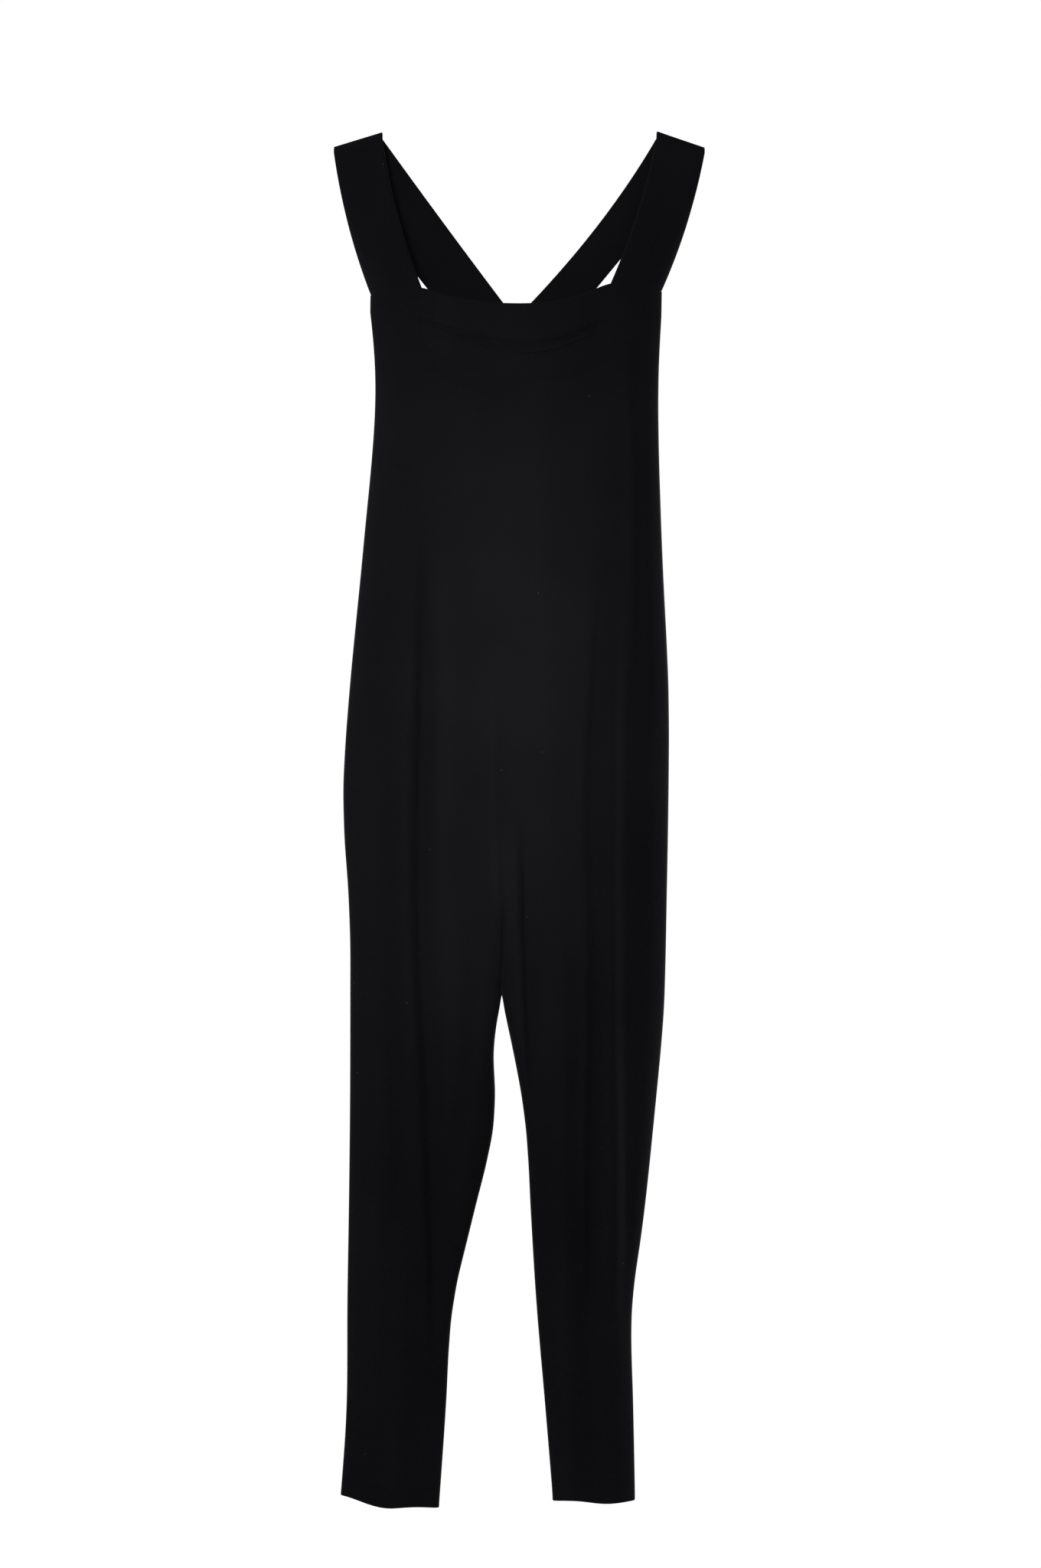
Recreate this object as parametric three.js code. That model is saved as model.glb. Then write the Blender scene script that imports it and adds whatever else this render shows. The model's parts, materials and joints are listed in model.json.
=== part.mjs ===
// A sleeveless, long-legged gymnastics unitard in black knit, hanging from its two shoulder straps, as a hanger holds it.
// Millimetres, +Z up. The wearer faces -Y, so the wearer's left is +X.
// The origin lies on the hanger line, midway between the two shoulder folds.
// Heights are given as drops: distances straight down from the hanger line.
import * as THREE from "three";

// ---- Cloth and sewing -------------------------------------------------------------------------------------------

const CLOTH = 1.0; // one layer of the knit
const SEWN_GAP = 0.3; // left between pieces that are sewn to each other
const ELASTIC = 0.8; // thickness of the elastic tape inside the neck bands
const ELASTIC_WIDTH = 8;
const BAND_END_GAP = 1.4; // from band to panel at the side seams, where their edges climb steeply
const THREAD = 0.4; // how thick a row of stitches lies on the cloth
const ALLOWANCE_WIDTH = 6; // the overlocked edges that stand inside each long seam
const ALLOWANCE_THICKNESS = 1.6;
const ALLOWANCE_CLEARANCE = 1.2; // from the turned edges to the panels, which curve between their rows
const LABEL_THICKNESS = 0.4;

// ---- Lengths down the garment -----------------------------------------------------------------------------------

const TORSO_LENGTH = 623; // underarm to crotch
const LEG_LENGTH = { right: 452, left: 444 }; // crotch to hem, as the two legs hang
const UNDERARM_DROP = { right: 137, left: 130 }; // the side ends of the neckline
const STRAP_FOOT_RISE = 10; // how far a strap's inner edge meets the neckline above its outer edge
const NECK_DROP = 141; // the slack middle of the front neckline
const FRONT_BAND_DEPTH = 38;
const BACK_BAND_DEPTH = 25;
const BACK_SCOOP = 110; // how far the back neckline dips below the underarms
const RIB_BELOW_UNDERARM = 64;
const WAIST_BELOW_UNDERARM = 226;
const HIGH_HIP_ABOVE_CROTCH = 275;
const HIP_ABOVE_CROTCH = 172;
const SEAT_ABOVE_CROTCH = 70;
const FORK_BELOW_CROTCH = 38;
const THIGH_BELOW_CROTCH = 105;
const LOW_THIGH_BELOW_CROTCH = 200;
const KNEE_BELOW_CROTCH = 270;
const CALF_ABOVE_HEM = 83;
const LEG_FOLD_BELOW_CROTCH = 50; // the line that each leg folds up about
const CROTCH_ROUNDING = 160; // height over which the body tube closes to the crotch seam
const HEM_DEPTH = 20; // turned up inside each ankle
const HEM_STITCH_HEIGHT = 3; // below the hem's raw edge
const LINING_RISE = 80; // how far the crotch lining reaches up inside, front and back
const LINING_FOOT = 40; // where its front and back stop above the crotch seam, as it is drawn in
const LINING_CLEARANCE = 1; // from the lining to the panels, which curve between their rows
const LINING_WIDTH = 64;
const LINING_TAPER = 0.6; // of its width left at the crotch
const BAND_END = 4.5; // from each end of the front band to the inner edge of its strap
const NECK_SAG = 2.3; // how sharply the neckline turns up at the straps
const BAND_STITCH_HEIGHT = 4; // of the stitch line above the band's lower edge
const STITCH_WIDTH = 3;
const ELASTIC_PLACE = 0.2; // how far down the band its elastic lies
const SIZE_LABEL = { width: 24, height: 12 };
const CARE_LABEL = { width: 30, height: 45, seamHold: 3.5 };
const TACK_RISE = 4;
const TACK_HEIGHT = 2;
const TACK_CLEARANCE = 1.6; // the strap's surface leans, so its bar of stitches stands off by more than its thickness

// ---- Widths, from the midline to each side seam and each inseam, as the garment hangs -----------------------------

const SIDE_SEAM = {
  right: {
    underarm: 128.5,
    rib: 120.5,
    waist: 129.5,
    highHip: 139,
    hip: 143.5,
    seat: 135.5,
    crotch: 134,
    thigh: 132.5,
    lowThigh: 132,
    knee: 132,
    calf: 131,
    hem: 135.5,
  },
  left: {
    underarm: 132,
    rib: 129,
    waist: 135,
    highHip: 143,
    hip: 144.5,
    seat: 144.3,
    crotch: 144,
    thigh: 136.5,
    lowThigh: 128,
    knee: 119.5,
    calf: 122.5,
    hem: 125.5,
  },
};
const INSEAM = {
  right: { crotch: 0, fork: 7, thigh: 4.5, lowThigh: 24, knee: 39, calf: 44, hem: 48.5 },
  left: { crotch: 0, fork: 9.5, thigh: 22.7, lowThigh: 30.2, knee: 35.8, calf: 45.2, hem: 53.5 },
};
// From the middle of the hollow garment out to the front, and the same to the back.
const HALF_DEPTH = { underarm: 9, rib: 14, waist: 18, hip: 20, crotch: 17, thigh: 15.5, knee: 13, calf: 11.5, hem: 10.5 };
const ROUNDNESS = 2.6; // 2 makes each cross-section an ellipse, and more squares it off

// How finely the panels follow their curves.
const BODY_ROWS = 13;
const FORK_ROWS = 2;
const LEG_ROWS = 12;
const SEAM_ROWS = 14;

// ---- Straps -----------------------------------------------------------------------------------------------------

const STRAP_WIDTH = 45;
const STRAP_LAYERS = 2 * CLOTH;
const HANGER_THICKNESS = 6; // the sloping arm that each strap folds over
const HANGER_CLEARANCE = 0.6;
const FOLD = { right: { out: 141.5, drop: 2.5 }, left: { out: 147, drop: -2.5 } }; // middle of each shoulder fold
const FOLD_TILT = 18; // degrees, the fold line rising towards the neck
const FOOT_GAP = 1; // from each strap's sloping feet to the bands
const CROSSING_DROP = 182; // where the middles of the straps cross on the back
const CROSSING_TILT = 40;
const CROSSING_WIDTH = 0.88; // a strap's share of its width there, where it is stretched
const CROSSING_HOLD = 0.55; // how much of the way to its foot a strap stays at its depth in the crossing
const CROSSING_GAP = 1.6; // from the right strap to the left one, which lies outside it
const CROSSING_DEPTH = 9; // of the right strap behind the middle of the garment
const FRONT_BOW = [4, 4]; // how far a strap's inner and outer edges bow outwards between its ends
const BACK_BOW = { right: [1, 9], left: [10, 2] };
const STRAP_ROWS = { front: 7, back: 11, foot: 6 };
const FOLD_ANGLES = [0, 30, 60, 120, 150, 180].map(THREE.MathUtils.degToRad);
const BACK_FOOT = 16; // from the midline to the nearer edge of each strap's foot on the back band

// ---- Helpers ----------------------------------------------------------------------------------------------------

const FRONT = -1;
const BACK = 1;
const { lerp, clamp, smoothstep } = THREE.MathUtils;
const range = (count) => [...Array(count).keys()];
const steps = (from, to, count) => range(count + 1).map((i) => lerp(from, to, i / count));

// A smooth curve through [position, value] pairs, in rising order of position.
function curveThrough(pairs) {
  const curve = new THREE.CubicInterpolant(
    pairs.map(([position]) => position),
    pairs.map(([, value]) => value),
    1,
  );
  return (position) => curve.evaluate(position)[0];
}

// A closed solid between two grids of points, grid[row][column]. With wrap, the last column joins the first.
function solidBetween(outer, inner, wrap = false) {
  const rows = outer.length;
  const columns = outer[0].length;
  const spans = wrap ? columns : columns - 1;
  const at = (layer, row, column) => layer * rows * columns + row * columns + (column % columns);
  const triangles = [];
  const quad = (a, b, c, d) => triangles.push(a, b, c, a, c, d);
  for (const row of range(rows - 1)) {
    for (const column of range(spans)) {
      quad(at(0, row, column), at(0, row + 1, column), at(0, row + 1, column + 1), at(0, row, column + 1));
      quad(at(1, row, column), at(1, row, column + 1), at(1, row + 1, column + 1), at(1, row + 1, column));
    }
  }
  for (const column of range(spans)) {
    quad(at(0, 0, column), at(0, 0, column + 1), at(1, 0, column + 1), at(1, 0, column));
    const last = rows - 1;
    quad(at(0, last, column), at(1, last, column), at(1, last, column + 1), at(0, last, column + 1));
  }
  if (!wrap) {
    for (const row of range(rows - 1)) {
      quad(at(0, row, 0), at(1, row, 0), at(1, row + 1, 0), at(0, row + 1, 0));
      const last = columns - 1;
      quad(at(0, row, last), at(0, row + 1, last), at(1, row + 1, last), at(1, row, last));
    }
  }
  const points = [...outer.flat(), ...inner.flat()];
  if (signedVolume(points, triangles) < 0) triangles.reverse();
  const geometry = new THREE.BufferGeometry().setFromPoints(points);
  geometry.setIndex(triangles);
  geometry.computeVertexNormals();
  return geometry;
}

function signedVolume(points, triangles) {
  let volume = 0;
  for (let i = 0; i < triangles.length; i += 3) {
    const [a, b, c] = [0, 1, 2].map((k) => points[triangles[i + k]]);
    volume += a.dot(b.clone().cross(c)) / 6;
  }
  return volume;
}

// The directions square to a grid of points, from its neighbours.
function gridNormals(grid) {
  return grid.map((line, row) =>
    line.map((_, column) => {
      const above = grid[Math.max(row - 1, 0)][column];
      const below = grid[Math.min(row + 1, grid.length - 1)][column];
      const before = line[Math.max(column - 1, 0)];
      const after = line[Math.min(column + 1, line.length - 1)];
      const down = below.clone().sub(above);
      const along = after.clone().sub(before);
      return along.cross(down).normalize();
    }),
  );
}

// A sheet of the given thickness with the grid as its middle.
function thickSheet(grid, thickness, wrap = false) {
  const normals = gridNormals(grid);
  const moved = (distance) =>
    grid.map((line, row) => line.map((p, column) => p.clone().addScaledVector(normals[row][column], distance)));
  return solidBetween(moved(thickness / 2), moved(-thickness / 2), wrap);
}

// ---- Materials --------------------------------------------------------------------------------------------------

const knit = new THREE.MeshStandardMaterial({ color: 0x161618, roughness: 0.85, metalness: 0 });
const strapKnit = new THREE.MeshStandardMaterial({ color: 0x141416, roughness: 0.85, metalness: 0 });
const lining = new THREE.MeshStandardMaterial({ color: 0x1d1d20, roughness: 0.9, metalness: 0 });
const thread = new THREE.MeshStandardMaterial({ color: 0x0d0d0e, roughness: 0.6, metalness: 0 });
const elastic = new THREE.MeshStandardMaterial({ color: 0x1c1c1c, roughness: 0.8, metalness: 0 });
const labelTape = new THREE.MeshStandardMaterial({ color: 0xd8d6d0, roughness: 0.7, metalness: 0 });

// ---- The body's shape -------------------------------------------------------------------------------------------

const UNDERARM_MEAN = (UNDERARM_DROP.right + UNDERARM_DROP.left) / 2;
const CROTCH = UNDERARM_MEAN + TORSO_LENGTH;
const LEG_FOLD = CROTCH + LEG_FOLD_BELOW_CROTCH;
const BACK_NECK_DROP = UNDERARM_MEAN + BACK_SCOOP;

// The drop of each named level of the garment.
function levels(underarm, hem) {
  return {
    underarm,
    rib: underarm + RIB_BELOW_UNDERARM,
    waist: underarm + WAIST_BELOW_UNDERARM,
    highHip: CROTCH - HIGH_HIP_ABOVE_CROTCH,
    hip: CROTCH - HIP_ABOVE_CROTCH,
    seat: CROTCH - SEAT_ABOVE_CROTCH,
    crotch: CROTCH,
    fork: CROTCH + FORK_BELOW_CROTCH,
    thigh: CROTCH + THIGH_BELOW_CROTCH,
    lowThigh: CROTCH + LOW_THIGH_BELOW_CROTCH,
    knee: CROTCH + KNEE_BELOW_CROTCH,
    calf: hem - CALF_ABOVE_HEM,
    hem,
  };
}

const sizesDown = (level, sizes) => curveThrough(Object.entries(sizes).map(([key, size]) => [level[key], size]));
const meanHem = CROTCH + (LEG_LENGTH.right + LEG_LENGTH.left) / 2;
const halfDepth = sizesDown(levels(UNDERARM_MEAN, meanHem), HALF_DEPTH);

// One half of the garment: its side seam and inseam, and where its shoulder strap meets the neckline.
function makeHalf(name, sign) {
  const underarm = UNDERARM_DROP[name];
  const hem = CROTCH + LEG_LENGTH[name];
  const level = levels(underarm, hem);
  const outer = sizesDown(level, SIDE_SEAM[name]);
  const inseam = sizesDown(level, INSEAM[name]);
  const inner = (drop) => (drop <= CROTCH ? 0 : inseam(drop));
  const chest = outer(underarm);
  return {
    name,
    sign,
    hem,
    outer,
    inner,
    underarm,
    frontFoot: 1 - STRAP_WIDTH / chest,
    frontBandEnd: 1 - (STRAP_WIDTH + BAND_END) / chest,
    backFoot: [BACK_FOOT / chest, (BACK_FOOT + STRAP_WIDTH) / chest],
  };
}
const halves = { right: makeHalf("right", -1), left: makeHalf("left", 1) };
const otherHalf = (half) => (half === halves.left ? halves.right : halves.left);

const squareness = (share) => (1 - Math.min(Math.abs(share), 1) ** ROUNDNESS) ** (1 / ROUNDNESS);

// A point of the cloth: u runs from the midline or inseam to the side seam, and offset is outwards from mid-cloth.
function wall(half, face, drop, u, offset = 0) {
  const closing = smoothstep(drop, CROTCH - CROTCH_ROUNDING, CROTCH);
  const outer = half.outer(drop) + offset;
  const inner = Math.max((half.inner(drop) - offset) * closing, SEWN_GAP / 2);
  const depth = halfDepth(drop) + offset;
  const x = lerp(inner, outer, u);
  const middle = (inner + outer) / 2;
  const asBody = depth * squareness(x / outer);
  const asLeg = depth * squareness((x - middle) / (outer - middle));
  const y = Math.max(lerp(asBody, asLeg, closing), SEWN_GAP / 2);
  return new THREE.Vector3(half.sign * x, face * y, -drop);
}

// The top edges of the front and the back.
function topEdge(half, face, u) {
  if (face === BACK) return lerp(BACK_NECK_DROP, half.underarm, u ** 2);
  const strapInner = half.underarm - STRAP_FOOT_RISE;
  if (u < half.frontFoot) return lerp(NECK_DROP, strapInner, (u / half.frontFoot) ** NECK_SAG);
  return lerp(strapInner, half.underarm, (u - half.frontFoot) / (1 - half.frontFoot));
}

// ---- Columns across the cloth -----------------------------------------------------------------------------------

const STRAP_SPANS = 5;
const STRAP_COLUMNS = steps(0, 1, STRAP_SPANS).map((v) => 1 - (1 - v) ** 2); // closer together at the outer edge

// The front band runs between the straps, and the back one from side seam to side seam.
function bandColumns(half, face) {
  return face === FRONT ? steps(0, half.frontBandEnd, STRAP_SPANS - 1) : topColumns(half, face);
}

// The same number of columns on every panel. Those along a top edge include the corners of each strap's foot.
function topColumns(half, face) {
  if (face === FRONT) return [...bandColumns(half, face), ...STRAP_COLUMNS.map((a) => lerp(half.frontFoot, 1, a))];
  const [near, far] = half.backFoot;
  const strap = STRAP_COLUMNS.map((a) => lerp(far, near, a)).reverse();
  const side = steps(0, 1, STRAP_SPANS - 1).map((v) => lerp(1, far, (1 - v) ** 2));
  return [0, ...strap.slice(0, -1), ...side];
}
const ROUND_COLUMNS = steps(0, Math.PI, 2 * STRAP_SPANS).map((angle) => (1 - Math.cos(angle)) / 2);

// ---- Pieces -----------------------------------------------------------------------------------------------------

const garment = new THREE.Group();
function addPiece(name, geometry, material) {
  const piece = new THREE.Mesh(geometry, material);
  piece.name = name;
  garment.add(piece);
}

// A piece that follows the cloth, from one offset to another. place gives a [half, face, drop, u] for each point.
function alongCloth(rows, columns, place, outerOffset, innerOffset, wrap = false) {
  const grid = (offset) => rows.map((row) => columns.map((column) => wall(...place(row, column), offset)));
  return solidBetween(grid(outerOffset), grid(innerOffset), wrap);
}

// Columns that run the whole way across the front or back, from the right side to the left side.
const acrossBoth = (columnsOf) => [
  ...columnsOf(halves.right).reverse().map((u) => [halves.right, u]),
  ...columnsOf(halves.left).map((u) => [halves.left, u]),
];

function bodyPanel(half, face) {
  const bandDepth = face === FRONT ? FRONT_BAND_DEPTH : BACK_BAND_DEPTH;
  const top = topColumns(half, face);
  const rows = [...steps(0, 1, BODY_ROWS), ...steps(1, 2, FORK_ROWS).slice(1)];
  const place = (row, column) => {
    const underStrap = face === FRONT && top[column] >= half.frontFoot;
    const bandAbove = bandDepth + lerp(SEWN_GAP, BAND_END_GAP, top[column]);
    const edge = topEdge(half, face, top[column]) + (underStrap ? 0 : bandAbove);
    const drop = row <= 1 ? lerp(edge, CROTCH, row) : lerp(CROTCH, LEG_FOLD, row - 1);
    return [half, face, drop, lerp(top[column], ROUND_COLUMNS[column], smoothstep(row, 0, 0.7))];
  };
  return alongCloth(rows, range(top.length), place, CLOTH / 2, -CLOTH / 2);
}

function legPanel(half, face) {
  const rows = steps(LEG_FOLD + SEWN_GAP, half.hem, LEG_ROWS);
  return alongCloth(rows, ROUND_COLUMNS, (drop, u) => [half, face, drop, u], CLOTH / 2, -CLOTH / 2);
}

// A strip of the neck band's depth or less, between two distances below the top edge.
function bandStrip(face, from, to, outerOffset, innerOffset, columnsOf = (half) => bandColumns(half, face)) {
  const place = (below, [half, u]) => [half, face, topEdge(half, face, u) + below, u];
  return alongCloth(steps(from, to, 2), acrossBoth(columnsOf), place, outerOffset, innerOffset);
}

// The turned edges of a long seam, standing inside it. route gives the wall's inner point and the way inwards.
function seamAllowance(drops, route, sideways) {
  const grid = (side) =>
    drops.map((drop) => {
      const [point, inwards] = route(drop);
      point.addScaledVector(sideways, (side * ALLOWANCE_THICKNESS) / 2);
      return [point, point.clone().addScaledVector(inwards, ALLOWANCE_WIDTH)];
    });
  return solidBetween(grid(1), grid(-1));
}
const INSIDE = -CLOTH / 2 - SEWN_GAP; // from mid-cloth to what lies against its inner face
const X = new THREE.Vector3(1, 0, 0);
const Y = new THREE.Vector3(0, 1, 0);

function longSeam(half, from, to, u) {
  const inwards = X.clone().multiplyScalar(u === 1 ? -half.sign : half.sign);
  const offset = INSIDE - ALLOWANCE_CLEARANCE;
  const route = (drop) => [wall(half, FRONT, drop, u, offset).setY(0), inwards];
  return seamAllowance(steps(from, to, SEAM_ROWS), route, Y);
}

function centreSeam(face) {
  const bandDepth = face === FRONT ? FRONT_BAND_DEPTH : BACK_BAND_DEPTH;
  const from = topEdge(halves.left, face, 0) + bandDepth + SEWN_GAP;
  const to = CROTCH - LINING_RISE - SEWN_GAP;
  const offset = INSIDE - ALLOWANCE_CLEARANCE;
  const inwards = Y.clone().multiplyScalar(-face);
  const route = (drop) => [wall(halves.left, face, drop, 0, offset).setX(0), inwards];
  return seamAllowance(steps(from, to, SEAM_ROWS), route, X);
}

function crotchLining(face) {
  const columnsOf = (half) => steps(0, LINING_WIDTH / 2 / half.outer(CROTCH), 3);
  const taper = (drop) => lerp(1, LINING_TAPER, (drop - CROTCH + LINING_RISE) / LINING_RISE);
  const place = (drop, [half, u]) => [half, face, drop, u * taper(drop)];
  const rows = steps(CROTCH - LINING_RISE, CROTCH - LINING_FOOT, 4);
  return alongCloth(rows, acrossBoth(columnsOf), place, INSIDE - LINING_CLEARANCE, INSIDE - LINING_CLEARANCE - CLOTH);
}

// A closed ring around one leg.
function legRing(half, from, to, outerOffset, innerOffset) {
  const around = [
    ...ROUND_COLUMNS.map((u) => [FRONT, u]),
    ...[...ROUND_COLUMNS].reverse().map((u) => [BACK, u]),
  ];
  const place = (drop, [face, u]) => [half, face, drop, u];
  return alongCloth([from, to], around, place, outerOffset, innerOffset, true);
}

// ---- Straps: from the front band, over the hanger arm, across the back to the other side's band -------------------

const strapEdge = (centre, tilt, sign, a, width = STRAP_WIDTH) => {
  const reach = (a - 0.5) * width;
  const lean = THREE.MathUtils.degToRad(tilt);
  return new THREE.Vector3(sign * (centre.out + reach * Math.cos(lean)), centre.y, -(centre.drop + reach * Math.sin(lean)));
};

function strapGrid(half) {
  const { sign } = half;
  const radius = HANGER_THICKNESS / 2 + HANGER_CLEARANCE + STRAP_LAYERS / 2;
  const foldAt = (angle) => {
    const { out, drop } = FOLD[half.name];
    return { out, drop: drop - radius * Math.sin(angle), y: -radius * Math.cos(angle) };
  };
  const crossingY = CROSSING_DEPTH + (half === halves.left ? STRAP_LAYERS + CROSSING_GAP : 0);
  const crossing = { out: 0, drop: CROSSING_DROP, y: crossingY };
  const other = otherHalf(half);
  const [near, far] = half.backFoot;
  const rowAt = (point) => STRAP_COLUMNS.map(point);
  const frontFoot = rowAt((a) => {
    const u = lerp(half.frontFoot, 1, a);
    return wall(half, FRONT, topEdge(half, FRONT, u) - FOOT_GAP, u);
  });
  const backFoot = rowAt((a) => {
    const u = lerp(far, near, a);
    return wall(other, BACK, topEdge(other, BACK, u) - FOOT_GAP, u);
  });
  const fold = FOLD_ANGLES.map((angle) => rowAt((a) => strapEdge(foldAt(angle), FOLD_TILT, sign, a)));
  const cross = rowAt((a) => strapEdge(crossing, CROSSING_TILT, sign, a, STRAP_WIDTH * CROSSING_WIDTH));
  // Rows between two others, bowed outwards. The first one's depth is kept for a share of the way.
  const between = (first, last, count, bow, hold = 0) =>
    steps(0, 1, count).slice(1, -1).map((f) =>
      first.map((point, i) => {
        const place = point.clone().lerp(last[i], f);
        place.y = lerp(point.y, last[i].y, smoothstep(f, hold, 1));
        place.x += sign * lerp(...bow, STRAP_COLUMNS[i]) * 4 * f * (1 - f);
        return place;
      }),
    );
  return [
    frontFoot,
    ...between(frontFoot, fold[0], STRAP_ROWS.front, FRONT_BOW),
    ...fold,
    ...between(fold[fold.length - 1], cross, STRAP_ROWS.back, BACK_BOW[half.name]),
    cross,
    ...between(cross, backFoot, STRAP_ROWS.foot, [0, 0], CROSSING_HOLD),
    backFoot,
  ];
}

// A bar of stitches on the outside of a strap, a little above the foot that it holds.
function strapTack(footRow, nextRow, face) {
  const slope = nextRow[0].distanceTo(footRow[0]);
  const grid = [TACK_RISE, TACK_RISE + TACK_HEIGHT].map((rise) =>
    footRow.slice(0, -2).map((point, i) => point.clone().lerp(nextRow[i], rise / slope)),
  );
  const lift = (distance) => grid.map((line) => line.map((p) => p.clone().setY(p.y + face * distance)));
  const clear = (STRAP_LAYERS / 2) * TACK_CLEARANCE + SEWN_GAP;
  return solidBetween(lift(clear + THREAD), lift(clear));
}

// ---- The garment ------------------------------------------------------------------------------------------------

const faces = { front: FRONT, back: BACK };
const bandDepths = { front: FRONT_BAND_DEPTH, back: BACK_BAND_DEPTH };

for (const [faceName, face] of Object.entries(faces)) {
  for (const half of Object.values(halves)) {
    addPiece(`${faceName}_${half.name}_body`, bodyPanel(half, face), knit);
    addPiece(`${faceName}_${half.name}_leg`, legPanel(half, face), knit);
  }
  const depth = bandDepths[faceName];
  addPiece(`${faceName}_neck_band`, bandStrip(face, 0, depth, CLOTH, -CLOTH), knit);
  const elasticTop = (depth - ELASTIC_WIDTH) * ELASTIC_PLACE;
  const elasticOffset = -CLOTH - SEWN_GAP;
  addPiece(
    `${faceName}_band_elastic`,
    bandStrip(face, elasticTop, elasticTop + ELASTIC_WIDTH, elasticOffset, elasticOffset - ELASTIC),
    elastic,
  );
  const stitches = [depth - BAND_STITCH_HEIGHT, depth - BAND_STITCH_HEIGHT + STITCH_WIDTH];
  const stitchOffset = CLOTH + SEWN_GAP;
  addPiece(`${faceName}_band_stitching`, bandStrip(face, ...stitches, stitchOffset + THREAD, stitchOffset), thread);
  addPiece(`centre_${faceName}_seam`, centreSeam(face), thread);
  addPiece(`${faceName}_crotch_lining`, crotchLining(face), lining);
}

for (const half of Object.values(halves)) {
  const { name, hem } = half;
  const grid = strapGrid(half);
  addPiece(`${name}_strap`, thickSheet(grid, STRAP_LAYERS), strapKnit);
  addPiece(`${name}_front_strap_tack`, strapTack(grid[0], grid[1], FRONT), thread);
  addPiece(`${name}_back_strap_tack`, strapTack(grid[grid.length - 1], grid[grid.length - 2], BACK), thread);
  const hemTop = hem - HEM_DEPTH;
  const bandFoot = half.underarm + Math.max(FRONT_BAND_DEPTH, BACK_BAND_DEPTH) + SEWN_GAP;
  addPiece(`${name}_side_seam`, longSeam(half, bandFoot, LEG_FOLD, 1), thread);
  addPiece(`${name}_leg_side_seam`, longSeam(half, LEG_FOLD + SEWN_GAP, hemTop - SEWN_GAP, 1), thread);
  addPiece(`${name}_inseam`, longSeam(half, LEG_FOLD + SEWN_GAP, hemTop - SEWN_GAP, 0), thread);
  addPiece(`${name}_ankle_hem`, legRing(half, hemTop, hem, INSIDE, INSIDE - CLOTH), knit);
  const stitchTop = hemTop + HEM_STITCH_HEIGHT;
  const stitchOffset = CLOTH / 2 + SEWN_GAP;
  const stitchRing = legRing(half, stitchTop, stitchTop + STITCH_WIDTH, stitchOffset + THREAD, stitchOffset);
  addPiece(`${name}_hem_stitching`, stitchRing, thread);
}

const sizeLabelColumns = (half) => steps(0, SIZE_LABEL.width / 2 / half.outer(half.underarm), 2);
const sizeLabelTop = BACK_BAND_DEPTH - SIZE_LABEL.height - SEWN_GAP;
addPiece(
  "size_label",
  bandStrip(
    BACK,
    sizeLabelTop,
    sizeLabelTop + SIZE_LABEL.height,
    -CLOTH - 2 * SEWN_GAP - ELASTIC,
    -CLOTH - 2 * SEWN_GAP - ELASTIC - LABEL_THICKNESS,
    sizeLabelColumns,
  ),
  labelTape,
);

const careLabelDrop = CROTCH - HIP_ABOVE_CROTCH;
const careLabelSide = halves.left.outer(careLabelDrop) - CARE_LABEL.seamHold;
const careLabel = new THREE.BoxGeometry(CARE_LABEL.width, LABEL_THICKNESS, CARE_LABEL.height);
addPiece("care_label", careLabel, labelTape);
garment.getObjectByName("care_label").position.set(
  careLabelSide - CARE_LABEL.width / 2,
  ALLOWANCE_THICKNESS / 2 + SEWN_GAP + LABEL_THICKNESS / 2,
  -careLabelDrop,
);

export default garment;
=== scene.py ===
# %% [markdown]
# # A gymnastics unitard, hanging by its straps
# The garment is a sleeveless black bodysuit with long legs, cut from a fine jersey: a soft tube for the
# trunk, two narrowing tubes for the legs, a folded band along the square neckline, and two wide straps that
# cross on the back. The frame holds its plain solids. This lesson dresses them in cloth: sheets with real
# folds, seams and stitches.

# %% Load the frame
import json
import math

import bpy
import numpy as np
from mathutils import Matrix, Vector, noise


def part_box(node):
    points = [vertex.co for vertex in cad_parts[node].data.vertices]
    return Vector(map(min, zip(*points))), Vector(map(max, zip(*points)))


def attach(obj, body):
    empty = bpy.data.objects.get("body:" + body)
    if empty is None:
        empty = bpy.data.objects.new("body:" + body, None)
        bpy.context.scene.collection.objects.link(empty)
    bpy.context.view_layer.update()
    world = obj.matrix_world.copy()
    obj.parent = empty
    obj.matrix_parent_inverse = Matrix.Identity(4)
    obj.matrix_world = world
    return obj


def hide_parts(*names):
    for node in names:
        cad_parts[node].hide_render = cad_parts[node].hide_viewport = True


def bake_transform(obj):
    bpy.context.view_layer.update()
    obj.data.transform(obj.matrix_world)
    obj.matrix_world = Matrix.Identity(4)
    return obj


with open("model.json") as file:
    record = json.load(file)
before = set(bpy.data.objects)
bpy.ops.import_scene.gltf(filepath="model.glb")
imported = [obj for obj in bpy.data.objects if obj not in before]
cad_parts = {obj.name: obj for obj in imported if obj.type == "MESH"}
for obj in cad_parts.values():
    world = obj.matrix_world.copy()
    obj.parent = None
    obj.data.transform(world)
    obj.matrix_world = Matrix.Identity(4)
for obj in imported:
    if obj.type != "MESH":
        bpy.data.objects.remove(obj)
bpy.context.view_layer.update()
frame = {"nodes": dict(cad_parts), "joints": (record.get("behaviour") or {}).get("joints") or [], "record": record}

JOINTS = {joint["name"]: joint for joint in frame["joints"]}
MOUNTS = {mount["name"]: mount for mount in frame["record"]["mounts"]}

# %% [markdown]
# ## Reading the outline from the frame
# Cloth has to lie where the solids are. One way is to shrink-wrap a sheet onto them, but a fine sheet then
# copies their flat facets. Here the solids are sliced, level by level, and the slices give smooth curves of
# width and depth. A drop is a distance straight down from the hanger line, and both halves are measured
# outwards from the midline.

# %% Slices through the solids
SIGN = {"right": -1, "left": 1}  # the wearer's right is at -X
OTHER = {"right": "left", "left": "right"}
FRONT, BACK = -1, 1
FACE_NAME = {FRONT: "front", BACK: "back"}


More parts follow.
